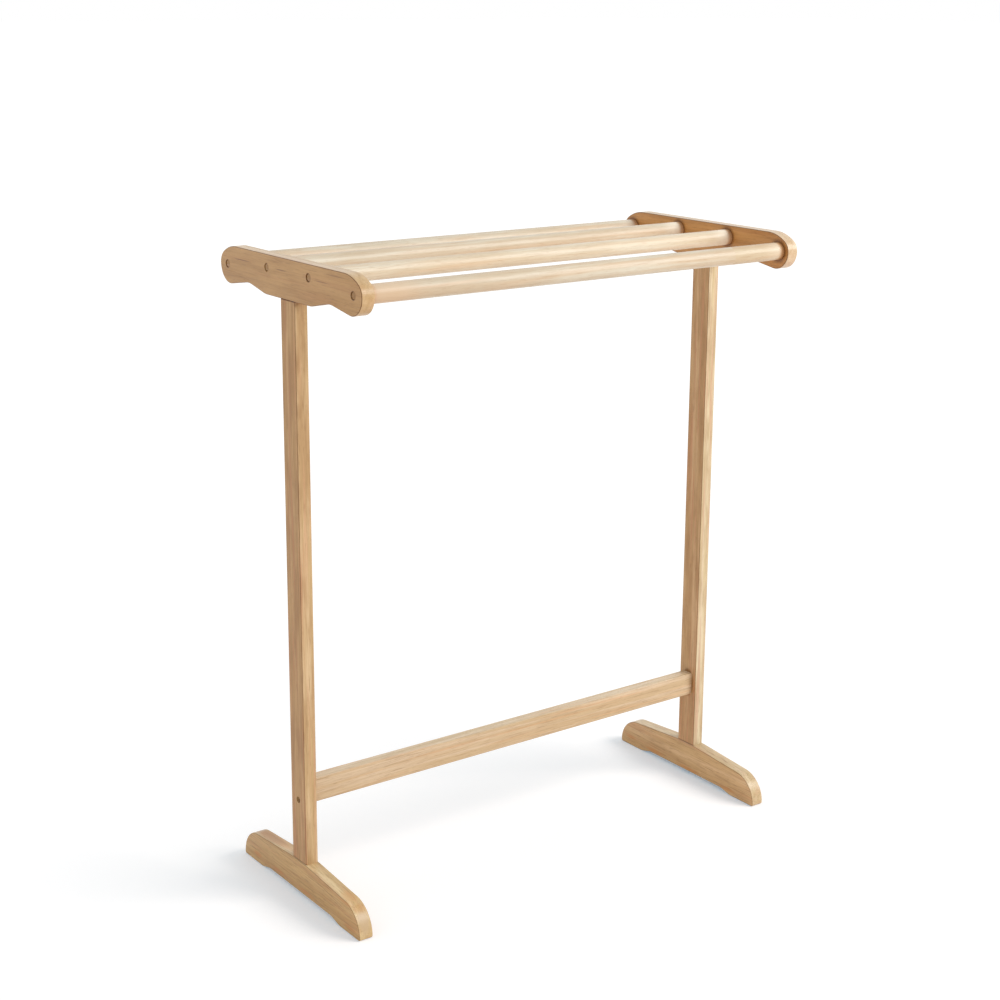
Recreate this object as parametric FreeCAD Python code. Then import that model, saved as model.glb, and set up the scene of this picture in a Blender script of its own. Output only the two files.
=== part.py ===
import FreeCAD, Part
import math
import os

# A freestanding towel stand in solid pale wood, in millimetres.
# Two end frames, each a shaped cheek on a post on a sled foot, are held apart
# by four round rails between the cheeks and one flat stretcher between the posts.
# +X runs along the rails, -Y is the front, +Z is up, and the origin is on the
# floor, midway between the feet.

V = FreeCAD.Vector
X_AXIS = V(1, 0, 0)
Z_AXIS = V(0, 0, 1)

# ---- Driving dimensions -------------------------------------------------------

frame_width = 700.0          # over the outer faces of the cheeks and posts
stand_height = 853.0         # floor to the top edge of the cheeks
board = 18.0                 # thickness of cheeks, posts and stretcher
board_round = 1.2            # rounding on the long edges of every board

cheek_depth = 348.0          # front to back over the two noses
cheek_height = 51.4          # top edge down to the flat that sits on the post
nose_drop = 25.0             # top edge down to the tip of the nose
chin_lift = 1.5              # lowest point of the nose above the flat
crown_run = 41.0             # how far in the top edge starts to fall to the nose
nose_top_radius = 18.0       # upper side of the nose
waist_inset = 74.5           # tip of the nose in to the highest cut of the underside
waist_lift = 9.2             # how far that corner is above the flat
waist_run = 42.8             # from that corner in to the end of the flat
waist_radius = 38.0
flat_radius = 40.0

post_width = 35.0            # front to back

foot_length = 303.0
foot_thickness = 20.0        # stands a little proud of the post on both sides
foot_height = 50.0           # floor to the seat of the post
seat_margin = 3.5            # flat of the seat in front of and behind the post
seat_radius = 60.0
foot_slope = 4.55            # degrees, the fall of the top edge
toe_height = 3.4             # where the rounded tip turns upright
toe_radius = 3.0
pad_length = 50.0            # each end of the foot that rests on the floor
arch_ramp = 20.0             # run over which the underside rises from the pad
arch_height = 5.0
arch_radius = 22.0

outer_rail_diameter = 24.0
outer_rail_inset = 19.6      # tip of the nose in to the axis of an outer rail
outer_rail_drop = 24.7       # top edge down to the axis of an outer rail
inner_rail_diameter = 22.0
inner_rail_drop = 16.8
rail_socket = 3.0            # how deep a rail end sits in the cheek

stretcher_height = 33.0
stretcher_z = 148.7          # centre of the stretcher above the floor

plug_diameter = 10.0
plug_length = 5.0
plug_chamfer = 0.6

screw_shank = 4.5
screw_length = 50.0          # under the head
screw_head = 8.0
screw_head_height = 2.5
hex_socket = 4.0             # across flats
hex_socket_depth = 1.6

stretcher_screw_inset = 5.0  # its axis above the stretcher's underside
stretcher_screw_bore = 9.0
stretcher_screw_sink = 8.0   # outer face of the post in to the seat of the head
stretcher_dowel_inset = 9.5  # its axis below the stretcher's top edge

foot_screw_shank = 5.0
foot_screw_length = 80.0
foot_screw_head = 9.5
foot_screw_head_height = 3.0
foot_screw_bore = 10.5
foot_screw_bore_depth = 10.0

dowel_diameter = 8.0
dowel_chamfer = 1.0
cheek_dowel_length = 40.0
cheek_dowel_y = 9.5
stretcher_dowel_length = 30.0
stretcher_dowel_in_post = 12.0
foot_dowel_diameter = 6.0
foot_dowel_length = 40.0
foot_dowel_y = 11.0

# ---- Clearances ---------------------------------------------------------------

rail_fit = 0.1               # all of these are on the radius
plug_fit = 0.2
dowel_fit = 0.05
pilot_fit = 0.05
shank_clearance = 0.5
hole_end_gap = 0.5           # beyond the end of a dowel or screw in its hole

# ---- Places worked out from them ----------------------------------------------

outer_x = frame_width / 2
inner_x = outer_x - board
middle_x = outer_x - board / 2
cheek_bottom = stand_height - cheek_height
nose_tip = cheek_depth / 2
nose_radius = cheek_height - nose_drop - chin_lift
crown_radius = ((crown_run ** 2 + nose_drop ** 2 - 2 * crown_run * nose_top_radius)
                / (2 * (nose_drop - nose_top_radius)))
rail_bore_depth = plug_length + screw_head_height + hole_end_gap
outer_rail_y = nose_tip - outer_rail_inset
inner_rail_y = outer_rail_y / 3
outer_rail_z = stand_height - outer_rail_drop
inner_rail_z = stand_height - inner_rail_drop
stretcher_screw_z = stretcher_z - stretcher_height / 2 + stretcher_screw_inset
stretcher_dowel_z = stretcher_z + stretcher_height / 2 - stretcher_dowel_inset
rails = {
    "front_rail": (-outer_rail_y, outer_rail_z, outer_rail_diameter),
    "front_inner_rail": (-inner_rail_y, inner_rail_z, inner_rail_diameter),
    "back_inner_rail": (inner_rail_y, inner_rail_z, inner_rail_diameter),
    "back_rail": (outer_rail_y, outer_rail_z, outer_rail_diameter),
}


# ---- Outlines in the YZ plane --------------------------------------------------

def point(y, z):
    return V(0, y, z)


def corner_arc(before, corner, after, radius):
    """Start, middle and end of the arc that rounds one corner of an outline."""
    back = (before - corner).normalize()
    ahead = (after - corner).normalize()
    half_angle = back.getAngle(ahead) / 2
    reach = radius / math.tan(half_angle)
    bisector = (back + ahead).normalize()
    centre = corner + bisector * (radius / math.sin(half_angle))
    middle = centre - bisector * radius
    return corner + back * reach, middle, corner + ahead * reach


def rounded_run(stations):
    """Edges of an open run of straights, its inner corners rounded as (point, radius)."""
    edges = []
    here = stations[0][0]
    for index in range(1, len(stations) - 1):
        corner, radius = stations[index]
        start, middle, end = corner_arc(
            stations[index - 1][0], corner, stations[index + 1][0], radius)
        edges.append(Part.LineSegment(here, start).toShape())
        edges.append(Part.Arc(start, middle, end).toShape())
        here = end
    edges.append(Part.LineSegment(here, stations[-1][0]).toShape())
    return edges


def tangent_below(outside, centre, radius):
    """Where a line from a point outside a circle touches the circle's underside."""
    gap = centre - outside
    distance = gap.Length
    towards = math.atan2(gap.z, gap.y) - math.asin(radius / distance)
    reach = math.sqrt(distance ** 2 - radius ** 2)
    return outside + point(math.cos(towards), math.sin(towards)) * reach


def both_halves(half_edges):
    """One closed wire from the edges at +Y and their mirror image."""
    edges = list(half_edges)
    for edge in half_edges:
        edges.append(edge.mirror(V(0, 0, 0), V(0, 1, 0)))
    return Part.Wire(Part.__sortEdges__(edges))


def board_from(wire, thickness):
    """A board sawn to an outline, over the middle of the end frame, its arrises rounded."""
    blank = Part.Face(wire).extrude(X_AXIS * thickness)
    arrises = [edge for edge in blank.Edges if edge.BoundBox.XLength < thickness / 2]
    rounded = blank.makeFillet(board_round, arrises)
    rounded.translate(X_AXIS * (-middle_x - thickness / 2))
    return rounded


# ---- Solids turned about X or Z ------------------------------------------------

def rod(start, direction, length, diameter):
    return Part.makeCylinder(diameter / 2, length, start, direction)


def dowel(start, direction, length, diameter):
    """A wooden dowel with chamfered ends."""
    pin = rod(start, direction, length, diameter)
    rims = [edge for edge in pin.Edges if edge.Curve.TypeId == "Part::GeomCircle"]
    return pin.makeChamfer(dowel_chamfer, rims)


def screw(seat, direction, length, shank, head, head_height):
    """A flat-seated wood screw with a hexagon socket; its shank runs along direction."""
    tip = shank
    body = rod(seat, direction, length - tip, shank)
    point_cone = Part.makeCone(shank / 2, 0.0, tip, seat + direction * (length - tip), direction)
    cap = rod(seat - direction * head_height, direction, head_height, head)
    socket = hexagon(seat - direction * head_height, direction, hex_socket, hex_socket_depth)
    return cap.fuse([body, point_cone]).removeSplitter().cut(socket)


def hexagon(start, direction, across_flats, depth):
    """A six-sided recess, drawn on +Z and then turned to face along direction."""
    radius = across_flats / math.sqrt(3)
    corners = []
    for step in range(7):
        angle = math.radians(60 * step)
        corners.append(V(radius * math.cos(angle), radius * math.sin(angle), 0))
    prism = Part.Face(Part.makePolygon(corners)).extrude(Z_AXIS * depth)
    prism.Placement = FreeCAD.Placement(start, FreeCAD.Rotation(Z_AXIS, direction))
    return prism


# ---- The left end frame, whose outer face is at -outer_x ------------------------

def cheek_outline():
    """Top edge, falling crown, round nose, waist and the flat over the post."""
    nose_z = stand_height - nose_drop
    top_end = point(nose_tip - crown_run, stand_height)
    nose_centre = point(nose_tip - nose_radius, nose_z)
    waist = point(nose_tip - waist_inset, cheek_bottom + waist_lift)
    chin = tangent_below(waist, nose_centre, nose_radius)
    nose_turn = (chin - nose_centre).normalize() + point(1, 0)
    top = Part.LineSegment(point(0, stand_height), top_end).toShape()
    crown = crown_arcs(top_end, point(nose_tip, nose_z))
    nose = Part.Arc(
        point(nose_tip, nose_z),
        nose_centre + nose_turn.normalize() * nose_radius,
        chin).toShape()
    underside = rounded_run([
        (chin, 0),
        (waist, waist_radius),
        (point(waist.y - waist_run, cheek_bottom), flat_radius),
        (point(0, cheek_bottom), 0),
    ])
    return both_halves([top] + crown + [nose] + underside)


def crown_arcs(top_end, tip):
    """A wide arc, level where it leaves the top edge, runs into a small one at the tip."""
    crown_centre = top_end - point(0, crown_radius)
    small_centre = tip - point(nose_top_radius, 0)
    meeting = (small_centre - crown_centre).normalize()
    join = small_centre + meeting * nose_top_radius
    wide_middle = crown_centre + (meeting + point(0, 1)).normalize() * crown_radius
    small_middle = small_centre + (meeting + point(1, 0)).normalize() * nose_top_radius
    return [
        Part.Arc(top_end, wide_middle, join).toShape(),
        Part.Arc(join, small_middle, tip).toShape(),
    ]


def rail_axes():
    """Where each rail's axis crosses the plane x = 0."""
    return [point(y, z) for y, z, diameter in rails.values()]


def make_cheek():
    cheek = board_from(cheek_outline(), board)
    cuts = []
    for y, z, diameter in rails.values():
        face = V(-outer_x, y, z)
        cuts.append(rod(face, X_AXIS, rail_bore_depth, plug_diameter + 2 * plug_fit))
        cuts.append(rod(face, X_AXIS, board, screw_shank + 2 * shank_clearance))
        cuts.append(rod(V(-inner_x - rail_socket, y, z), X_AXIS,
                        rail_socket, diameter + 2 * rail_fit))
    for y in (-cheek_dowel_y, cheek_dowel_y):
        cuts.append(rod(V(-middle_x, y, cheek_bottom), Z_AXIS,
                        cheek_dowel_length / 2 + hole_end_gap, dowel_diameter + 2 * dowel_fit))
    return cheek.cut(cuts)


def make_post():
    height = cheek_bottom - foot_height
    blank = Part.makeBox(board, post_width, height, V(-outer_x, -post_width / 2, foot_height))
    corners = [edge for edge in blank.Edges if edge.BoundBox.ZLength > height / 2]
    post = blank.makeFillet(board_round, corners)
    cuts = []
    for y in (-cheek_dowel_y, cheek_dowel_y):
        cuts.append(rod(V(-middle_x, y, cheek_bottom), -Z_AXIS,
                        cheek_dowel_length / 2 + hole_end_gap, dowel_diameter + 2 * dowel_fit))
    for y in (-foot_dowel_y, foot_dowel_y):
        cuts.append(rod(V(-middle_x, y, foot_height), Z_AXIS,
                        foot_dowel_length / 2 + hole_end_gap, foot_dowel_diameter + 2 * dowel_fit))
    cuts.append(rod(V(-middle_x, 0, foot_screw_seat()), Z_AXIS,
                    foot_screw_length + hole_end_gap, foot_screw_shank + 2 * pilot_fit))
    screw_face = V(-outer_x, 0, stretcher_screw_z)
    cuts.append(rod(screw_face, X_AXIS, stretcher_screw_sink, stretcher_screw_bore))
    cuts.append(rod(screw_face, X_AXIS, board, screw_shank + 2 * shank_clearance))
    cuts.append(rod(V(-inner_x, 0, stretcher_dowel_z), -X_AXIS,
                    stretcher_dowel_in_post + hole_end_gap, dowel_diameter + 2 * dowel_fit))
    return post.cut(cuts)


def foot_outline():
    """Seat for the post, sloping shoulders, rounded tips, end pads and a low arch."""
    half_length = foot_length / 2
    seat_y = post_width / 2 + seat_margin
    slope = math.radians(foot_slope)
    tip_z = foot_height - (half_length - seat_y) * math.tan(slope)
    tip_radius = (tip_z - toe_height) * math.tan((math.pi / 2 + slope) / 2)
    pad_y = half_length - pad_length
    return both_halves(rounded_run([
        (point(0, foot_height), 0),
        (point(seat_y, foot_height), seat_radius),
        (point(half_length, tip_z), tip_radius),
        (point(half_length, 0), toe_radius),
        (point(pad_y, 0), arch_radius),
        (point(pad_y - arch_ramp, arch_height), arch_radius),
        (point(0, arch_height), 0),
    ]))


def foot_screw_seat():
    return arch_height + foot_screw_bore_depth


def make_foot():
    foot = board_from(foot_outline(), foot_thickness)
    cuts = [
        rod(V(-middle_x, 0, 0), Z_AXIS, foot_screw_seat(), foot_screw_bore),
        rod(V(-middle_x, 0, 0), Z_AXIS, foot_height, foot_screw_shank + 2 * shank_clearance),
    ]
    for y in (-foot_dowel_y, foot_dowel_y):
        cuts.append(rod(V(-middle_x, y, foot_height), -Z_AXIS,
                        foot_dowel_length / 2 + hole_end_gap, foot_dowel_diameter + 2 * dowel_fit))
    return foot.cut(cuts)


def make_rail_plugs():
    """Four wooden plugs, flush with the cheek's outer face, with softened rims."""
    plugs = []
    for axis in rail_axes():
        plug = rod(axis - X_AXIS * outer_x, X_AXIS, plug_length, plug_diameter)
        rim = [edge for edge in plug.Edges
               if edge.Curve.TypeId == "Part::GeomCircle"
               and edge.CenterOfMass.x < -outer_x + plug_length / 2]
        plugs.append(plug.makeChamfer(plug_chamfer, rim))
    return Part.makeCompound(plugs)


def make_rail_screws():
    seat_x = -outer_x + rail_bore_depth
    screws = []
    for axis in rail_axes():
        screws.append(screw(axis + X_AXIS * seat_x, X_AXIS, screw_length,
                            screw_shank, screw_head, screw_head_height))
    return Part.makeCompound(screws)


def make_cheek_dowels():
    start_z = cheek_bottom - cheek_dowel_length / 2
    return Part.makeCompound([
        dowel(V(-middle_x, y, start_z), Z_AXIS, cheek_dowel_length, dowel_diameter)
        for y in (-cheek_dowel_y, cheek_dowel_y)])


def make_foot_dowels():
    start_z = foot_height - foot_dowel_length / 2
    return Part.makeCompound([
        dowel(V(-middle_x, y, start_z), Z_AXIS, foot_dowel_length, foot_dowel_diameter)
        for y in (-foot_dowel_y, foot_dowel_y)])


def make_foot_screw():
    return screw(V(-middle_x, 0, foot_screw_seat()), Z_AXIS, foot_screw_length,
                 foot_screw_shank, foot_screw_head, foot_screw_head_height)


def make_stretcher_screw():
    seat = V(-outer_x + stretcher_screw_sink, 0, stretcher_screw_z)
    return screw(seat, X_AXIS, screw_length, screw_shank, screw_head, screw_head_height)


def make_stretcher_dowel():
    start = V(-inner_x - stretcher_dowel_in_post, 0, stretcher_dowel_z)
    return dowel(start, X_AXIS, stretcher_dowel_length, dowel_diameter)


# ---- Pieces that span the two end frames ----------------------------------------

def make_rail(y, z, diameter):
    """A round rail that reaches the floor of its socket at each end."""
    end_x = inner_x + rail_socket
    rail = rod(V(-end_x, y, z), X_AXIS, 2 * end_x, diameter)
    pilot_length = rail_bore_depth + screw_length + hole_end_gap
    cuts = []
    for side in (-1, 1):
        cuts.append(rod(V(side * outer_x, y, z), X_AXIS * -side,
                        pilot_length, screw_shank + 2 * pilot_fit))
    return rail.cut(cuts)


def make_stretcher():
    """A flat bar between the posts, with a pilot hole and a dowel hole in each end."""
    length = 2 * inner_x
    corner = V(-inner_x, -board / 2, stretcher_z - stretcher_height / 2)
    blank = Part.makeBox(length, board, stretcher_height, corner)
    arrises = [edge for edge in blank.Edges if edge.BoundBox.XLength > length / 2]
    stretcher = blank.makeFillet(board_round, arrises)
    pilot_length = stretcher_screw_sink + screw_length + hole_end_gap
    dowel_depth = stretcher_dowel_length - stretcher_dowel_in_post + hole_end_gap
    cuts = []
    for side in (-1, 1):
        cuts.append(rod(V(side * outer_x, 0, stretcher_screw_z), X_AXIS * -side,
                        pilot_length, screw_shank + 2 * pilot_fit))
        cuts.append(rod(V(side * inner_x, 0, stretcher_dowel_z), X_AXIS * -side,
                        dowel_depth, dowel_diameter + 2 * dowel_fit))
    return stretcher.cut(cuts)


# ---- Every node ------------------------------------------------------------------

end_frame = {
    "cheek": make_cheek,
    "post": make_post,
    "foot": make_foot,
    "rail_plugs": make_rail_plugs,
    "rail_screws": make_rail_screws,
    "cheek_dowels": make_cheek_dowels,
    "foot_dowels": make_foot_dowels,
    "foot_screw": make_foot_screw,
    "stretcher_screw": make_stretcher_screw,
    "stretcher_dowel": make_stretcher_dowel,
}

os.makedirs("parts", exist_ok=True)
nodes = {}
for name, make in end_frame.items():
    left = make()
    nodes["left_" + name] = left
    nodes["right_" + name] = left.mirror(V(0, 0, 0), X_AXIS)
for name, (y, z, diameter) in rails.items():
    nodes[name] = make_rail(y, z, diameter)
nodes["stretcher"] = make_stretcher()

for name, shape in nodes.items():
    shape.exportStep("parts/" + name + ".step")
    print(name, len(shape.Solids), "solid(s),", round(shape.Volume), "mm3, valid", shape.isValid())
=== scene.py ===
import math

import bmesh
import bpy
from mathutils import Matrix, Vector


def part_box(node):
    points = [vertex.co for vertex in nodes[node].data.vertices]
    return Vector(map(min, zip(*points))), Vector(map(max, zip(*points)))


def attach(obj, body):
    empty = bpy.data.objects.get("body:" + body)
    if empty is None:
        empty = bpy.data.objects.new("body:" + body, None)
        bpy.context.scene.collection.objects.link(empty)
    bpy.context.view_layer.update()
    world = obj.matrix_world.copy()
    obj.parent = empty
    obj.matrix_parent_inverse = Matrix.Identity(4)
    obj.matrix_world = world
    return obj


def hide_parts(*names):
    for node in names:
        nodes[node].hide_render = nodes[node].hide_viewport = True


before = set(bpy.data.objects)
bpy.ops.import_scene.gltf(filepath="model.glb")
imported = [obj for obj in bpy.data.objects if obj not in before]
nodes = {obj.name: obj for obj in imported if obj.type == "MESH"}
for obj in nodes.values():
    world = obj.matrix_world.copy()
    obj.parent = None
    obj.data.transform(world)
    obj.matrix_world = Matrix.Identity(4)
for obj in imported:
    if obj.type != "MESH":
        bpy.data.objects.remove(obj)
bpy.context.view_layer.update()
print("frame loaded:", len(nodes), "nodes")


def mm(*values):  # millimetres to metres: one number, or three as a Vector
    scaled = [value / 1000 for value in values]
    return scaled[0] if len(scaled) == 1 else Vector(scaled)


def boxOf(nodeName):  # a CAD node's lowest and highest corners, in millimetres
    return [corner * 1000 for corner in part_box(nodeName)]


def middleOf(nodeName):  # half of the corners' sum, in millimetres
    low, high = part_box(nodeName)
    return (low + high) * 500


def linear(hexColour):  # sRGB hex to the linear colour that the shaders work in
    channels = [int(hexColour[i:i + 2], 16) / 255 for i in (1, 3, 5)]
    return [c / 12.92 if c <= 0.04045 else ((c + 0.055) / 1.055) ** 2.4 for c in channels] + [1.0]


def addNode(tree, kind, settings=None, links=None):  # one node, with its settings and what feeds it
    node = tree.nodes.new("ShaderNode" + kind)
    for name, value in (settings or {}).items():
        if isinstance(name, str) and hasattr(node, name):
            setattr(node, name, value)
        else:
            node.inputs[name].default_value = value
    for name, source in (links or {}).items():
        tree.links.new(source, node.inputs[name])
    return node


def newMaterial(name):
    material = bpy.data.materials.new(name)
    material.use_nodes = True
    material.node_tree.nodes.clear()
    return material, material.node_tree


# Every board and rail is the same timber, rubberwood, planed, sanded and sprayed with clear
# satin lacquer. The eye sees a honey tone, long soft streaks, short dark pores and a low sheen.
timber = {
    "stray": 5.0,               # mm that the grain wanders sideways
    "strayLength": 420.0,       # mm, how long and how wide one such bend is
    "strayWidth": 60.0,
    "noiseRoughness": 0.58,
    "ringPitch": 7.0,           # mm between growth rings, seen as soft bands
    "ringEdges": (0.35, 1.0),
    # How squarely a face looks along the grain or the board's thin way, where 1 is square on.
    "endGrainEdges": (0.55, 0.95),  # from none to full end grain
    "broadEdges": (0.70, 0.98),     # from a narrow edge to a broad face
    "arrisEdges": (0.35, 0.80),     # where the rounding between those two darkens
    "flatEdges": (0.93, 0.998),     # and where it stops
    "roughness": (0.40, 0.52),  # between the fibres, and on them
    "fibreReach": 0.35,         # the fibres' mask at which it is roughest
    "specular": 0.22,
    "coat": 0.25,               # unless the piece has its own
    "coatRoughness": 0.25,
    "reliefDepth": 0.10,        # mm
    "reliefStrength": 0.22,
}

# Noise drawn out along the grain, the broadest first: sizes in mm, edges are noise values.
grainLayers = {
    "bands": {"length": 330.0, "width": 13.0, "detail": 3.0, "edges": (0.36, 0.64), "tone": "honey"},
    "clouds": {"length": 95.0, "width": 26.0, "detail": 2.0, "edges": (0.40, 0.66), "tone": "shade"},
    "flush": {"length": 190.0, "width": 9.0, "detail": 1.0, "edges": (0.50, 0.70), "tone": "rose"},
    "fibres": {"length": 46.0, "width": 1.6, "detail": 3.0, "edges": (0.45, 0.75), "tone": "brown"},
    "pores": {"length": 15.0, "width": 1.2, "detail": 1.0, "edges": (0.60, 0.70),
              "tone": "brown"},  # 0.2 mm wide in life, drawn wider so that they show
    "dashes": {"length": 60.0, "width": 3.0, "detail": 2.0, "edges": (0.64, 0.73), "tone": "brown"},
}

grainTurns = {  # turns X on to the grain's direction
    "X": (0.0, 0.0, 0.0),
    "Y": (0.0, 0.0, math.pi / 2),
    "Z": (0.0, -math.pi / 2, 0.0),
}
axes = {"X": (1, 0, 0), "Y": (0, 1, 0), "Z": (0, 0, 1)}


def perMetre(length, width):  # noise scale for a pattern this long along the grain and this wide, in mm
    return 1000 / length, 1000 / width, 1000 / width


def grainPoint(tree, place, past, look, middle):  # where a spot lies in its stick, X along the grain
    pith = mm(*(middle + Vector(look["pith"])))
    point = addNode(tree, "Mapping", {"vector_type": "TEXTURE", "Location": pith,
                                      "Rotation": grainTurns[look["grain"]]}, {"Vector": place}).outputs[0]
    if past:
        jump = addNode(tree, "VectorMath", {"operation": "SCALE", 0: mm(*look["joint"]["jump"])},
                       {"Scale": past})
        point = addNode(tree, "VectorMath", {"operation": "ADD"}, {0: point, 1: jump.outputs[0]}).outputs[0]

    bend = perMetre(timber["strayLength"], timber["strayWidth"])
    scaled = addNode(tree, "VectorMath", {"operation": "MULTIPLY", 1: bend}, {0: point})
    stray = addNode(tree, "TexNoise", {"Scale": 1.0, "Detail": 1.0}, {"Vector": scaled.outputs[0]})
    centred = addNode(tree, "VectorMath", {"operation": "SUBTRACT", 1: (0.5, 0.5, 0.5)},
                      {0: stray.outputs["Color"]})
    reach = mm(2 * timber["stray"])
    shift = addNode(tree, "VectorMath", {"operation": "MULTIPLY", 1: (0.0, reach, reach)},
                    {0: centred.outputs[0]})
    return addNode(tree, "VectorMath", {"operation": "ADD"}, {0: point, 1: shift.outputs[0]}).outputs[0]


def woodFigure(tree, point, look):  # the layers of grain and the rings, and each layer's mask
    tones, amounts = look["tones"], look["amounts"]
    colour = None
    masks = {}
    for layerName, layer in grainLayers.items():
        streak = perMetre(layer["length"], layer["width"] * look.get("narrow", 1.0))
        scaled = addNode(tree, "VectorMath", {"operation": "MULTIPLY", 1: streak}, {0: point})
        noise = addNode(tree, "TexNoise", {"Scale": 1.0, "Detail": layer["detail"],
                                           "Roughness": timber["noiseRoughness"]},
                        {"Vector": scaled.outputs[0]})
        low, high = layer["edges"]
        mask = addNode(tree, "MapRange", {"interpolation_type": "SMOOTHSTEP", "From Min": low,
                                          "From Max": high, "To Max": amounts[layerName]},
                       {"Value": noise.outputs["Fac"]})
        masks[layerName] = mask.outputs["Result"]
        mixed = addNode(tree, "Mix", {"data_type": "RGBA", 6: linear(tones["pale"]),
                                      7: linear(tones[layer["tone"]])}, {0: masks[layerName]})
        if colour:
            tree.links.new(colour, mixed.inputs[6])
        colour = mixed.outputs[2]

    ringScale = math.pi * 100 / timber["ringPitch"]  # Blender's rings repeat every pi / 10 units
    wave = addNode(tree, "TexWave", {"wave_type": "RINGS", "rings_direction": "X", "wave_profile": "SAW",
                                     "Scale": ringScale}, {"Vector": point})
    low, high = timber["ringEdges"]
    lateWood = addNode(tree, "MapRange", {"interpolation_type": "SMOOTHSTEP", "From Min": low,
                                          "From Max": high, "To Max": amounts["rings"]},
                       {"Value": wave.outputs["Fac"]})
    colour = addNode(tree, "Mix", {"data_type": "RGBA", 7: linear(tones["brown"])},
                     {0: lateWood.outputs["Result"], 6: colour}).outputs[2]
    return colour, masks


def endGrain(tree, colour, normal, look):  # darker where a face cuts across the fibres
    along = addNode(tree, "VectorMath", {"operation": "DOT_PRODUCT", 1: axes[look["grain"]]}, {0: normal})
    turned = addNode(tree, "Math", {"operation": "ABSOLUTE"}, {0: along.outputs["Value"]})
    low, high = timber["endGrainEdges"]
    sawn = addNode(tree, "MapRange", {"interpolation_type": "SMOOTHSTEP", "From Min": low, "From Max": high,
                                      "To Max": look["amounts"]["endGrain"]}, {"Value": turned.outputs[0]})
    return addNode(tree, "Mix", {"data_type": "RGBA", 7: linear(look["tones"]["end"])},
                   {0: sawn.outputs["Result"], 6: colour}).outputs[2]


# Painted light and shade: each board's broad faces and narrow edges get their own tints, for how the lamp
# and the walls light each way a face turns.
def facesAndArrises(tree, colour, normal, look):  # a tint for broad faces and edges, and a line between
    facing = addNode(tree, "VectorMath", {"operation": "DOT_PRODUCT", 1: axes[look["thin"]]}, {0: normal})
    turned = addNode(tree, "Math", {"operation": "ABSOLUTE"}, {0: facing.outputs["Value"]})
    low, high = timber["arrisEdges"]
    rising = addNode(tree, "MapRange", {"interpolation_type": "SMOOTHSTEP", "From Min": low,
                                        "From Max": high, "To Max": look["amounts"]["arris"]},
                     {"Value": turned.outputs[0]})
    low, high = timber["flatEdges"]
    flat = addNode(tree, "MapRange", {"interpolation_type": "SMOOTHSTEP", "From Min": low, "From Max": high,
                                      "To Min": 1.0, "To Max": 0.0}, {"Value": turned.outputs[0]})
    arris = addNode(tree, "Math", {"operation": "MULTIPLY"},
                    {0: rising.outputs["Result"], 1: flat.outputs["Result"]})
    low, high = timber["broadEdges"]
    broad = addNode(tree, "MapRange", {"interpolation_type": "SMOOTHSTEP", "From Min": low,
                                       "From Max": high}, {"Value": turned.outputs[0]})
    beyond = addNode(tree, "Math", {"operation": "GREATER_THAN", 1: 0.0}, {0: facing.outputs["Value"]})
    paintedFaceLight = addNode(tree, "Mix", {"data_type": "RGBA", 6: linear(look["paintedFaceLight"]),
                                     7: linear(look.get("paintedBeyondLight", look["paintedFaceLight"]))},
                       {0: beyond.outputs[0]})
    tint = addNode(tree, "Mix", {"data_type": "RGBA", 6: linear(look["paintedEdgeLight"])},
                   {0: broad.outputs["Result"], 7: paintedFaceLight.outputs[2]})
    colour = addNode(tree, "Mix", {"data_type": "RGBA", "blend_type": "MULTIPLY", 0: 1.0},
                     {6: colour, 7: tint.outputs[2]}).outputs[2]
    # The rounded arrises between broad faces and edges are darkened.
    return addNode(tree, "Mix", {"data_type": "RGBA", 7: linear(look["tones"]["brown"])},
                   {0: arris.outputs[0], 6: colour}).outputs[2]


def addStainOrPaintedLight(tree, colour, place, mark, tones):
    turn = (math.radians(mark["turn"]), 0.0, 0.0)
    local = addNode(tree, "Mapping", {"vector_type": "TEXTURE", "Location": mm(*mark["at"]),
                                      "Scale": mm(*mark["halfSize"]), "Rotation": turn}, {"Vector": place})
    distance = addNode(tree, "VectorMath", {"operation": "LENGTH"}, {0: local.outputs[0]})
    offRim = addNode(tree, "Math", {"operation": "SUBTRACT", 1: mark["rim"]},
                     {0: distance.outputs["Value"]})
    away = addNode(tree, "Math", {"operation": "ABSOLUTE"}, {0: offRim.outputs[0]})
    near, far = mark["edges"]
    mask = addNode(tree, "MapRange", {"interpolation_type": "SMOOTHSTEP", "From Min": near,
                                      "From Max": far, "To Min": mark["strength"], "To Max": 0.0},
                   {"Value": away.outputs[0]})
    return addNode(tree, "Mix", {"data_type": "RGBA", 7: linear(tones[mark["tone"]])},
                   {0: mask.outputs["Result"], 6: colour}).outputs[2]


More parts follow.
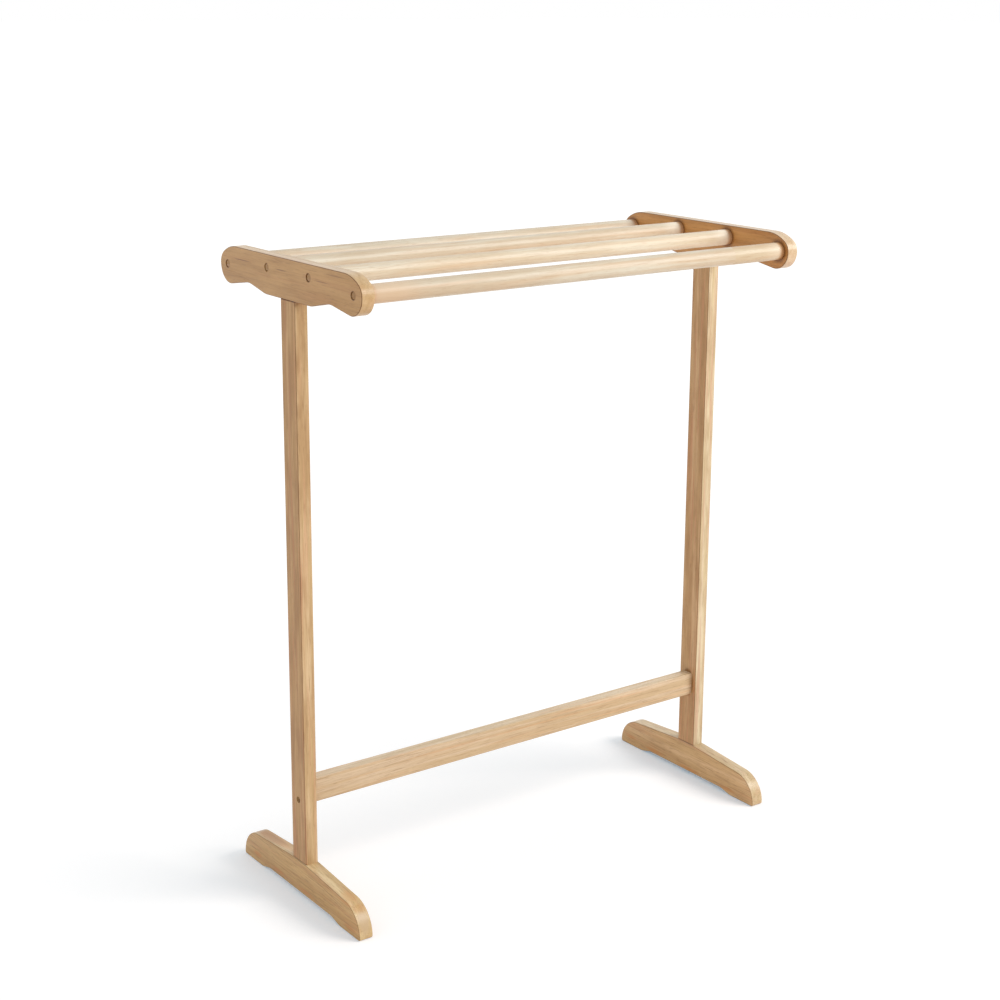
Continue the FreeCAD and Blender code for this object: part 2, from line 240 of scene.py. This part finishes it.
def planedTimber(name, look, middle):
    material, tree = newMaterial(name)
    coordinates = addNode(tree, "TexCoord")
    place, normal = coordinates.outputs["Object"], coordinates.outputs["Normal"]
    past = None
    if "joint" in look:  # 1 past a glued joint, where the grain is another stick's
        split = addNode(tree, "SeparateXYZ", None, {0: place})
        past = addNode(tree, "Math", {"operation": "GREATER_THAN", 1: mm(look["joint"]["x"])},
                       {0: split.outputs["X"]}).outputs[0]

    colour, masks = woodFigure(tree, grainPoint(tree, place, past, look, middle), look)
    if past:
        colour = addNode(tree, "Mix", {"data_type": "RGBA", "blend_type": "MULTIPLY",
                                       7: linear(look["joint"]["tint"])}, {0: past, 6: colour}).outputs[2]
    colour = endGrain(tree, colour, normal, look)
    if "thin" in look:
        colour = facesAndArrises(tree, colour, normal, look)
    for mark in look["marks"]:
        colour = addStainOrPaintedLight(tree, colour, place, mark, look["tones"])

    height = addNode(tree, "Math", {"operation": "MULTIPLY_ADD", 1: -1.0},
                     {0: masks["pores"], 2: masks["fibres"]})
    bump = addNode(tree, "Bump", {"Strength": timber["reliefStrength"],
                                  "Distance": mm(timber["reliefDepth"])}, {"Height": height.outputs[0]})
    low, high = timber["roughness"]
    sheen = addNode(tree, "MapRange", {"From Max": timber["fibreReach"], "To Min": low, "To Max": high},
                    {"Value": masks["fibres"]})
    shader = addNode(tree, "BsdfPrincipled", {"Specular IOR Level": timber["specular"],
                                              "Coat Weight": look.get("coat", timber["coat"]),
                                              "Coat Roughness": timber["coatRoughness"]},
                     {"Base Color": colour, "Roughness": sheen.outputs["Result"],
                      "Normal": bump.outputs[0]})
    addNode(tree, "OutputMaterial", None, {"Surface": shader.outputs[0]})
    return material


def dressNode(nodeName, material):
    mesh = nodes[nodeName].data
    mesh.materials.clear()
    mesh.materials.append(material)


def dressTimber(nodeName, look, species="rubberwood"):
    dressNode(nodeName, planedTimber(species + "_" + nodeName, look, middleOf(nodeName)))


across = 1000.0  # mm, a mark's half-size where it runs right through a piece
markDepth = {"ring": 9.0, "dash": 4.0, "glue": 3.0}  # mm either way from the face
stainEdges = {"dash": (0.3, 1.0), "glue": (0.4, 1.0)}


# A stain or a patch of painted light or shade is an ellipsoid of half-sizes in mm. Its edges are where it
# starts to fade and where it is gone, in half-sizes out from the middle, or from the ellipsoid's own skin
# where rim is 1.
def stainOrPaintedLight(at, halfSize, edges, tone, strength, turn=0.0, rim=0.0):
    return {"at": at, "halfSize": halfSize, "edges": edges, "tone": tone, "strength": strength,
            "turn": turn, "rim": rim}


# Round a plug the dark ring is its glue line; round a rail's end it is painted shade.
def ringMark(x, centre, radius, width, strength):  # round a plug or a rail, where it meets a face at x
    return stainOrPaintedLight((x, centre.y, centre.z), (markDepth["ring"], radius, radius), (0.0, width / radius),
                 "brown", strength, rim=1.0)


def dashMark(x, y, z, length, width, strength, turn=0.0, tone="brown"):  # one long pore or stain
    return stainOrPaintedLight((x, y, z), (markDepth["dash"], length / 2, width / 2), stainEdges["dash"], tone,
                 strength, turn)


def glueMark(x, z, width, strength):  # a glue line at one height, on the face at x
    return stainOrPaintedLight((x, 0.0, z), (markDepth["glue"], across, width), stainEdges["glue"], "brown", strength)


boardTones = {"pale": "#E6D3B4", "honey": "#D4BD95", "shade": "#C5AA85", "rose": "#D6B092",
              "brown": "#7E4F22", "end": "#CFB890", "orange": "#C98540"}
boardAmounts = {"bands": 1.0, "clouds": 0.35, "flush": 0.45, "fibres": 0.24, "pores": 0.28, "dashes": 0.30,
                "rings": 0.07, "endGrain": 0.2}
sides = {"left": -1, "right": 1}  # the sign of X
railNames = ("front_rail", "front_inner_rail", "back_inner_rail", "back_rail")
railCentres = {railName: middleOf(railName) for railName in railNames}

cheeks = {
    "grain": "Y",
    "thin": "X",
    "tones": boardTones,
    "amounts": {**boardAmounts, "arris": 1.0, "dashes": 0.12, "pores": 0.2, "flush": 0.3},
    "coat": 0.5,
    # Painted light and shade: the cheeks' tints for broad faces and edges.
    "paintedLightTints": {"left": ("#E4C594", "#F0E1CA"), "right": ("#E7BA82", "#F5EEEB")},  # broad faces, then edges
    "paintedBeyondLight": "#EACDA2",  # painted light for the broad faces towards +X, the lamp's side
    "piths": {"left": (45.0, 1300.0, -22.0), "right": (-50.0, 2500.0, 30.0)},
    "plugRim": 5.2,        # mm, the radius of the hole round a plug
    "plugRimWidth": 1.3,
    "plugRimStrength": {"front_rail": 0.7, "front_inner_rail": 0.85, "back_inner_rail": 0.3,
                        "back_rail": 0.65},
    # Painted shade round each rail's end on a cheek's inner face: its width in mm, and its strength.
    "railShadeWidth": 6.5,
    "railShadeStrength": 0.95,
    "dashes": (            # y, z, length, strength on the left cheek's outer face
        (115.0, 837.5, 58.0, 0.8),
        (15.0, 837.0, 38.0, 0.7),
        (-83.0, 835.0, 48.0, 0.6),
        (-115.0, 846.0, 62.0, 0.5),
    ),
    "dashWidth": 2.2,
}
for side, sign in sides.items():
    nodeName = side + "_cheek"
    low, high = boxOf(nodeName)
    outerX, innerX = (low.x, high.x) if sign < 0 else (high.x, low.x)
    marks = []
    for railName, centre in railCentres.items():
        railLow, railHigh = boxOf(railName)
        railRadius = (railHigh.z - railLow.z) / 2
        marks.append(ringMark(outerX, centre, cheeks["plugRim"], cheeks["plugRimWidth"],
                              cheeks["plugRimStrength"][railName]))
        # Painted shade round the rail's end, on the cheek's inner face.
        marks.append(ringMark(innerX, centre, railRadius, cheeks["railShadeWidth"],
                              cheeks["railShadeStrength"]))
    if side == "left":
        for y, z, length, strength in cheeks["dashes"]:
            marks.append(dashMark(outerX, y, z, length, cheeks["dashWidth"], strength))
    paintedFaceLight, paintedEdgeLight = cheeks["paintedLightTints"][side]
    dressTimber(nodeName, {**cheeks, "pith": cheeks["piths"][side], "paintedFaceLight": paintedFaceLight,
                           "paintedEdgeLight": paintedEdgeLight, "marks": marks})
print("cheeks finished")

posts = {
    "grain": "Z",
    "thin": "X",
    "tones": boardTones,
    "amounts": {**boardAmounts, "dashes": 0.4, "flush": 0.9, "clouds": 1.0, "fibres": 0.3, "arris": 0.75},
    # Painted light and shade: the posts' tints for broad faces and edges.
    "paintedLightTints": {"left": ("#E9D0AD", "#F2E6D3"), "right": ("#F1DCC4", "#F9FDFB")},
    "narrow": 0.6,           # the posts' streaks run closer than the boards'
    "piths": {"left": (-40.0, 25.0, 1650.0), "right": (35.0, 30.0, 2300.0)},
    "glueLine": 1.4,         # mm, half the width of the stain where a post meets cheek and foot
    "glueStrength": 0.9,
    "paintedBoreShade": {           # painted shade inside the bore of the stretcher's screw, 4.5 mm in radius
        "halfSize": (12.0, 4.5, 4.5), "edges": (0.9, 1.05), "tone": "orange", "strength": 0.55},
    "paintedCheekShadow": {         # painted shadow of the left cheek on the post's front face
        "halfSize": (9.0, 4.0, 8.0), "edges": (0.5, 1.0), "tone": "brown", "strength": 0.5},
    "paintedStretcherShade": {      # painted shade in the corner beside the stretcher's right end
        "halfSize": (4.0, 13.5, 24.0), "edges": (0.8, 1.0), "tone": "brown", "strength": 0.65},
    "arrisStains": (         # z, half-length, strength: brown stains on the left post's front arris
        (729.0, 26.0, 0.30),
        (664.0, 16.0, 0.30),
        (560.0, 22.0, 0.2),
        (430.0, 28.0, 0.2),
    ),
    "arrisStainDepth": 9.0,  # mm, half-size across the post's narrow edge
    "arrisStainWidth": 3.0,  # mm, half-size across its broad face
    "arrisStainEdges": (0.2, 1.0),
}
for side, sign in sides.items():
    nodeName = side + "_post"
    low, high = boxOf(nodeName)
    outerX = low.x if sign < 0 else high.x
    holeZ = middleOf(side + "_stretcher_screw").z
    marks = [
        glueMark(low.x, low.z, posts["glueLine"], posts["glueStrength"]),
        glueMark(low.x, high.z, posts["glueLine"], posts["glueStrength"]),
        stainOrPaintedLight((outerX, 0.0, holeZ), **posts["paintedBoreShade"]),
    ]
    if side == "right":
        # Painted shade on the right post's inner face, beside the stretcher's end.
        marks.append(stainOrPaintedLight((low.x, 0.0, middleOf("stretcher").z), **posts["paintedStretcherShade"]))
    if side == "left":
        # Painted shadow of the left cheek, at the top of the left post's front face.
        marks.append(stainOrPaintedLight((low.x, low.y, high.z), **posts["paintedCheekShadow"]))
        for z, halfLength, strength in posts["arrisStains"]:
            halfSize = (posts["arrisStainDepth"], posts["arrisStainWidth"], halfLength)
            marks.append(stainOrPaintedLight((low.x, low.y, z), halfSize, posts["arrisStainEdges"], "brown", strength))
    paintedFaceLight, paintedEdgeLight = posts["paintedLightTints"][side]
    dressTimber(nodeName, {**posts, "pith": posts["piths"][side], "paintedFaceLight": paintedFaceLight,
                           "paintedEdgeLight": paintedEdgeLight, "marks": marks})
print("posts finished")

feet = {
    "grain": "Y",
    "thin": "X",
    "tones": boardTones,
    "amounts": {**boardAmounts, "dashes": 0.55, "clouds": 0.4, "fibres": 0.38, "arris": 0.6},
    "coat": 0.5,
    # Painted light and shade: the feet's tints for broad faces and edges.
    "paintedLightTints": {"left": ("#EDD5A3", "#F9F2DA"), "right": ("#FAE8CD", "#F0ECE0")},
    "piths": {"left": (50.0, 4100.0, -30.0), "right": (-45.0, 5200.0, 25.0)},
    "stains": {              # y, z, length, width, strength: orange heartwood low on the faces towards -X
        "left": (
            (115.0, 13.0, 30.0, 10.0, 0.65),
            (57.0, 12.0, 40.0, 8.0, 0.65),
            (-17.0, 11.0, 60.0, 8.0, 0.6),
            (-128.0, 9.0, 40.0, 9.0, 0.5),
            (-120.0, 40.0, 50.0, 6.0, 0.4),
        ),
        "right": (
            (128.0, 14.0, 30.0, 9.0, 0.45),
            (70.0, 10.0, 60.0, 8.0, 0.65),
            (-10.0, 9.0, 70.0, 7.0, 0.6),
            (-95.0, 8.0, 50.0, 8.0, 0.5),
        ),
    },
    "longPores": (           # y, z, length, strength and turn in degrees, on the left foot
        (-78.0, 35.0, 122.0, 0.45, 7.5),
        (46.0, 45.0, 30.0, 0.45, 0.0),
    ),
    "poreWidth": 1.6,
    "topPatches": (           # y, z, length, height, strength, tone: darker patches on the left foot's top and toe
        (-112.0, 44.0, 40.0, 16.0, 0.3, "orange"),
        (-136.0, 37.0, 26.0, 24.0, 0.25, "orange"),
        (-147.0, 24.0, 26.0, 54.0, 0.8, "shade"),
        (92.0, 45.0, 170.0, 18.0, 0.55, "orange"),
        (106.0, 44.0, 140.0, 20.0, 0.30, "brown"),
    ),
    "topPatchReach": 11.0,   # mm either way along X
    "topPatchEdges": (0.4, 1.0),
}
for side in sides:
    nodeName = side + "_foot"
    leftX = boxOf(nodeName)[0].x
    marks = []
    for y, z, length, width, strength in feet["stains"][side]:
        marks.append(dashMark(leftX, y, z, length, width, strength, tone="orange"))
    if side == "left":
        for y, z, length, height, strength, tone in feet["topPatches"]:
            halfSize = (feet["topPatchReach"], length / 2, height / 2)
            marks.append(stainOrPaintedLight((middleOf(nodeName).x, y, z), halfSize, feet["topPatchEdges"], tone,
                               strength))
        for y, z, length, strength, turn in feet["longPores"]:
            marks.append(dashMark(leftX, y, z, length, feet["poreWidth"], strength, turn))
    paintedFaceLight, paintedEdgeLight = feet["paintedLightTints"][side]
    dressTimber(nodeName, {**feet, "pith": feet["piths"][side], "paintedFaceLight": paintedFaceLight,
                           "paintedEdgeLight": paintedEdgeLight, "marks": marks})
print("feet finished")

rails = {
    "grain": "X",
    # The end tone serves the end grain, and also the painted shade at each rail's end.
    "tones": {"pale": "#D7D0BD", "honey": "#CFBEA4", "shade": "#C2AE90", "rose": "#D5B694",
              # the last tone is painted light at the rails' right ends
              "brown": "#A07446", "end": "#B87E3E", "endLight": "#F8ECD8"},
    "palerTones": {"pale": "#E1D9C5", "honey": "#D8C7AB", "shade": "#CAB597", "rose": "#DEBE9B"},
    "palerRail": "front_inner_rail",
    "amounts": {"bands": 1.0, "clouds": 0.35, "flush": 0.4, "fibres": 0.20, "pores": 0.20, "dashes": 0.18,
                "rings": 0.05, "endGrain": 0.2},
    "piths": {"front_rail": (6000.0, 22.0, -30.0), "front_inner_rail": (7000.0, -30.0, 12.0),
              "back_inner_rail": (8000.0, 12.0, 34.0), "back_rail": (9000.0, -20.0, -24.0)},
    "frontJoint": {"x": 242.0, "jump": (900.0, 16.0, -21.0), "tint": "#F6EBDC"},  # glued end to end, in mm
    "endLightReach": 42.0,        # mm of painted light at the rails' right ends, against the right cheek's shade
    "endLightEdges": (0.1, 1.0),
    "endLightStrength": {"front_rail": 0.3, "front_inner_rail": 0.8, "back_inner_rail": 0.8, "back_rail": 0.6},
    "endShadeReach": 10.0,        # mm, painted shade at each end where a rail enters its cheek
    "endShadeEdges": (0.2, 1.0),
    "endShadeStrength": 0.8,
    "heartReach": 95.0,      # mm of warmer heartwood at the front rail's left end
    "heartEdges": (0.3, 1.0),
    "heartStrength": 0.65,
}
cheekInside = boxOf("right_cheek")[0].x
for railName, centre in railCentres.items():
    rightEnd = (cheekInside, centre.y, centre.z)
    leftEnd = (-cheekInside, centre.y, centre.z)
    endShadeSize = (rails["endShadeReach"], across, across)
    marks = [
        # painted light at the right end
        stainOrPaintedLight(rightEnd, (rails["endLightReach"], across, across), rails["endLightEdges"], "endLight",
              rails["endLightStrength"][railName]),
        # painted shade at both ends, where the rail enters a cheek
        stainOrPaintedLight(leftEnd, endShadeSize, rails["endShadeEdges"], "end", rails["endShadeStrength"]),
        stainOrPaintedLight(rightEnd, endShadeSize, rails["endShadeEdges"], "end", rails["endShadeStrength"]),
    ]
    look = {**rails, "pith": rails["piths"][railName], "marks": marks}
    if railName == "front_rail":
        marks.append(stainOrPaintedLight(leftEnd, (rails["heartReach"], across, across), rails["heartEdges"], "rose",
                           rails["heartStrength"]))
        look["joint"] = rails["frontJoint"]
    if railName == rails["palerRail"]:
        look["tones"] = {**rails["tones"], **rails["palerTones"]}
    dressTimber(railName, look)
print("rails finished")

stretcher = {
    "grain": "X",
    "thin": "Y",
    "tones": {**boardTones, "pale": "#E1CDB0", "honey": "#D3BC97", "rose": "#DBB388"},
    "amounts": {**boardAmounts, "clouds": 0.25, "flush": 0.5, "fibres": 0.3, "arris": 0.12},
    # Painted light and shade: the stretcher's tints for its broad faces and edges.
    "paintedFaceLight": "#F7F2ED",
    "paintedEdgeLight": "#FFFFFF",
    "narrow": 0.6,
    "pith": (3900.0, 36.0, 48.0),
    "marks": [],
}
dressTimber("stretcher", stretcher)
print("stretcher finished")

plugs = {
    "grain": "Y",
    "tones": {**boardTones, "pale": "#B8925F", "honey": "#A67E4C", "shade": "#A67E4C"},
    "amounts": {**boardAmounts, "endGrain": 0.0, "clouds": 0.6},
    "pith": (20.0, 300.0, 40.0),
    "sunk": 0.8,        # mm below the face of the cheek
    "rimRound": 0.9,
    "rimSteps": 4,
    "crown": 0.25,      # mm that the middle stands out
    "stepsRound": 48,
    "ringWidth": 1.2,   # mm, the dark line round a plug's face
    "ringStrength": 0.8,
    "sharpFrom": 50.0,  # degrees
}


def makePlugs(side, sign):
    nodeName = side + "_rail_plugs"
    low, high = boxOf(nodeName)
    length = high.x - low.x - plugs["sunk"]
    innerX = high.x if sign < 0 else low.x
    radius = high.y - railCentres["back_rail"].y
    turn = Matrix.Rotation(sign * math.pi / 2, 4, "Y")
    shape = bmesh.new()
    marks = []
    for centre in railCentres.values():
        spot = mm(innerX + sign * length / 2, centre.y, centre.z)
        made = bmesh.ops.create_cone(shape, cap_ends=True, segments=plugs["stepsRound"], radius1=mm(radius),
                                     radius2=mm(radius), depth=mm(length),
                                     matrix=Matrix.Translation(spot) @ turn)
        outer = [vert for vert in made["verts"] if sign * (vert.co.x - spot.x) > 0]
        rim = [edge for edge in shape.edges if all(vert in outer for vert in edge.verts)]
        bmesh.ops.bevel(shape, geom=rim, offset=mm(plugs["rimRound"]), affect="EDGES",
                        segments=plugs["rimSteps"], profile=0.5, material=-1)
        marks.append(ringMark(innerX + sign * length, centre, radius, plugs["ringWidth"],
                              plugs["ringStrength"]))
    caps = [face for face in shape.faces
            if len(face.verts) == plugs["stepsRound"] and sign * face.normal.x > 0]
    bmesh.ops.poke(shape, faces=caps, offset=mm(plugs["crown"]))
    mesh = bpy.data.meshes.new(side + "RailPlugs")
    shape.to_mesh(mesh)
    shape.free()
    for face in mesh.polygons:
        face.use_smooth = True
    mesh.set_sharp_from_angle(angle=math.radians(plugs["sharpFrom"]))
    mesh.materials.append(planedTimber("rubberwood_" + nodeName, {**plugs, "marks": marks},
                                       middleOf(nodeName)))
    piece = bpy.data.objects.new(side + "RailPlugs", mesh)
    bpy.context.scene.collection.objects.link(piece)
    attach(piece, "root")
    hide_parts(side + "_rail_plugs")


for side, sign in sides.items():
    makePlugs(side, sign)
print("plugs finished")

# Bare beech, turned: paler and closer than the boards, with short flecks.
dowels = {
    "tones": {"pale": "#E2C49A", "honey": "#D8B587", "shade": "#CCA675", "rose": "#D4A67C",
              "brown": "#9C6F42", "end": "#BE925F"},
    "amounts": {"bands": 0.6, "clouds": 0.2, "flush": 0.2, "fibres": 0.2, "pores": 0.3, "dashes": 0.0,
                "rings": 0.04, "endGrain": 0.3},
    "grains": {"cheek_dowels": "Z", "foot_dowels": "Z", "stretcher_dowel": "X"},
    "pith": (15.0, 25.0, 60.0),
    "marks": [],
}
for nodeName, grain in dowels["grains"].items():
    for side in sides:
        dressTimber(side + "_" + nodeName, {**dowels, "grain": grain}, "beech")
print("dowels finished")

screws = {
    "tones": ("#A8A69E", "#C6C4BC"),
    "cloudSize": 1.1,         # mm
    "cloudDetail": 3.0,
    "roughness": (0.28, 0.48),
}


def zincPlate():
    # Zinc-plated steel, tumbled: a cool grey metal with a fine cloudy spread of shine.
    material, tree = newMaterial("zincPlatedSteel")
    coordinates = addNode(tree, "TexCoord")
    cloud = addNode(tree, "TexNoise", {"Scale": 1000 / screws["cloudSize"],
                                       "Detail": screws["cloudDetail"]},
                    {"Vector": coordinates.outputs["Object"]})
    dull, bright = (linear(tone) for tone in screws["tones"])
    colour = addNode(tree, "Mix", {"data_type": "RGBA", 6: dull, 7: bright}, {0: cloud.outputs["Fac"]})
    low, high = screws["roughness"]
    spread = addNode(tree, "MapRange", {"To Min": low, "To Max": high}, {"Value": cloud.outputs["Fac"]})
    shader = addNode(tree, "BsdfPrincipled", {"Metallic": 1.0},
                     {"Base Color": colour.outputs[2], "Roughness": spread.outputs["Result"]})
    addNode(tree, "OutputMaterial", None, {"Surface": shader.outputs[0]})
    return material


zinc = zincPlate()
for side in sides:
    for nodeName in ("rail_screws", "foot_screw", "stretcher_screw"):
        dressNode(side + "_" + nodeName, zinc)
print("screws finished")

camera = {
    "eye": (-1439.26, -1941.87, 1172.84),  # mm
    "yaw": -36.16,                         # degrees from looking along +Y
    "pitch": -13.83,
    "roll": 0.40,
    "focal": 65.50,                        # mm on the sensor
    "sensor": 36.0,
    "shift": (-0.0033, -0.0614),
    "farthest": 200.0,                     # metres
}


def makeCamera():
    yaw, pitch, roll = (math.radians(camera[name]) for name in ("yaw", "pitch", "roll"))
    forward = Vector((-math.sin(yaw) * math.cos(pitch), math.cos(yaw) * math.cos(pitch), math.sin(pitch)))
    level = forward.cross(Vector((0, 0, 1))).normalized()
    upright = level.cross(forward)
    right = level * math.cos(roll) + upright * math.sin(roll)
    up = upright * math.cos(roll) - level * math.sin(roll)
    stance = Matrix((right, up, -forward)).transposed().to_4x4()
    lens = bpy.data.cameras.new("photoCamera")
    lens.sensor_width = camera["sensor"]
    lens.lens = camera["focal"]
    lens.shift_x, lens.shift_y = camera["shift"]
    lens.clip_end = camera["farthest"]
    body = bpy.data.objects.new("photoCamera", lens)
    body.matrix_world = Matrix.Translation(mm(*camera["eye"])) @ stance
    bpy.context.scene.collection.objects.link(body)
    bpy.context.scene.camera = body


makeCamera()
print("camera set")

softbox = {  # one large lamp, to the right of the stand and in front of it
    "place": (1940.0, -2130.0, 2220.0),  # mm
    "aim": (0.0, 0.0, 400.0),
    "width": 2100.0,
    "strength": 0.65,                    # how bright a white card that faces it looks, at the stand
}


def makeSoftbox():
    reach = mm(*softbox["place"]) - mm(*softbox["aim"])
    lamp = bpy.data.lights.new("softbox", "AREA")
    lamp.shape = "DISK"
    lamp.size = mm(softbox["width"])
    # A white card that faces a lamp of P watts, a distance d away, looks P / (pi * d) ** 2 bright.
    lamp.energy = softbox["strength"] * math.pi ** 2 * reach.length_squared
    body = bpy.data.objects.new("softbox", lamp)
    body.location = mm(*softbox["place"])
    body.rotation_euler = reach.to_track_quat("Z", "Y").to_euler()
    body.visible_camera = False
    bpy.context.scene.collection.objects.link(body)


studio = {
    "ambient": 0.67,  # how strongly the white walls light the stand from all round
    "behind": 1.0,    # how bright they look behind it, where 1 is white
}


def whereSeen(tree):  # 1 for what the camera, a reflection or a clear pane sees directly
    path = addNode(tree, "LightPath")
    first = addNode(tree, "Math", {"operation": "MAXIMUM"},
                    {0: path.outputs["Is Camera Ray"], 1: path.outputs["Is Glossy Ray"]})
    return addNode(tree, "Math", {"operation": "MAXIMUM"},
                   {0: first.outputs[0], 1: path.outputs["Is Transmission Ray"]}).outputs[0]


def makeWorld():
    world = bpy.data.worlds.new("whiteStudio")
    bpy.context.scene.world = world
    world.use_nodes = True
    tree = world.node_tree
    tree.nodes.clear()
    soft = addNode(tree, "Background", {"Color": (1, 1, 1, 1), "Strength": studio["ambient"]})
    white = addNode(tree, "Background", {"Color": (1, 1, 1, 1), "Strength": studio["behind"]})
    mixed = addNode(tree, "MixShader", None, {0: whereSeen(tree), 1: soft.outputs[0], 2: white.outputs[0]})
    addNode(tree, "OutputWorld", None, {"Surface": mixed.outputs[0]})


floor = {
    "tone": "#FCEFE5",       # a warm white, so that its shadow stays grey beside the timber's glow
    "level": (1.07, 1.12),   # how bright the open floor looks, left and right; shadows take off from this
    "levelReach": (0.0, 0.35),  # metres along X
    "halfWidth": 60.0,       # metres
    "gap": 0.1,              # mm under the feet, so that the two never share a plane
}


def backgroundPaper():
    # Seamless background paper, matte and uncoated: the eye sees plain white with a soft grey
    # shadow. What the lamp and the walls give the open floor is worked out and topped up to one
    # even level, for the camera and for reflections only, so just the shadow shows on it.
    material, tree = newMaterial("matteWhitePaper")
    lampPlace = mm(*softbox["place"])
    beam = mm(*softbox["aim"]) - lampPlace
    tone = Vector(linear(floor["tone"])[:3])
    lampLight = tone * softbox["strength"] * beam.length_squared * lampPlace.z
    wallLight = tone * studio["ambient"]
    coordinates = addNode(tree, "TexCoord")
    spot = coordinates.outputs["Object"]
    # The lamp lights a spot by its distance and by how far the spot lies off the lamp's aim.
    fromLamp = addNode(tree, "VectorMath", {"operation": "SUBTRACT", 1: lampPlace}, {0: spot})
    distance = addNode(tree, "VectorMath", {"operation": "LENGTH"}, {0: fromLamp.outputs[0]})
    ahead = addNode(tree, "VectorMath", {"operation": "DOT_PRODUCT", 1: beam.normalized()},
                    {0: fromLamp.outputs[0]})
    facing = addNode(tree, "Math", {"operation": "MAXIMUM", 1: 0.0}, {0: ahead.outputs["Value"]})
    thinning = addNode(tree, "Math", {"operation": "POWER", 1: -4.0}, {0: distance.outputs["Value"]})
    fall = addNode(tree, "Math", {"operation": "MULTIPLY"}, {0: facing.outputs[0], 1: thinning.outputs[0]})
    split = addNode(tree, "SeparateXYZ", None, {0: spot})
    near, far = floor["levelReach"]
    low, high = floor["level"]
    level = addNode(tree, "MapRange", {"interpolation_type": "SMOOTHSTEP", "From Min": near,
                                       "From Max": far, "To Min": low, "To Max": high},
                    {"Value": split.outputs["X"]})
    unlit = addNode(tree, "VectorMath", {"operation": "MULTIPLY_ADD", 1: -lampLight, 2: -wallLight},
                    {0: fall.outputs[0]})
    lift = addNode(tree, "VectorMath", {"operation": "ADD"},
                   {0: unlit.outputs[0], 1: level.outputs["Result"]})
    above = addNode(tree, "VectorMath", {"operation": "MAXIMUM", 1: (0.0, 0.0, 0.0)}, {0: lift.outputs[0]})
    glow = addNode(tree, "Emission", None, {"Color": above.outputs[0], "Strength": whereSeen(tree)})
    paper = addNode(tree, "BsdfDiffuse", {"Color": linear(floor["tone"])})
    both = addNode(tree, "AddShader", None, {0: paper.outputs[0], 1: glow.outputs[0]})
    addNode(tree, "OutputMaterial", None, {"Surface": both.outputs[0]})
    return material


def makeFloor():
    shape = bmesh.new()
    bmesh.ops.create_grid(shape, x_segments=1, y_segments=1, size=floor["halfWidth"],
                          matrix=Matrix.Translation((0.0, 0.0, -mm(floor["gap"]))))
    mesh = bpy.data.meshes.new("studioFloor")
    shape.to_mesh(mesh)
    shape.free()
    mesh.materials.append(backgroundPaper())
    sheet = bpy.data.objects.new("studioFloor", mesh)
    bpy.context.scene.collection.objects.link(sheet)


makeSoftbox()
makeWorld()
makeFloor()
bpy.context.scene.view_settings.view_transform = "Standard"
print("studio ready")
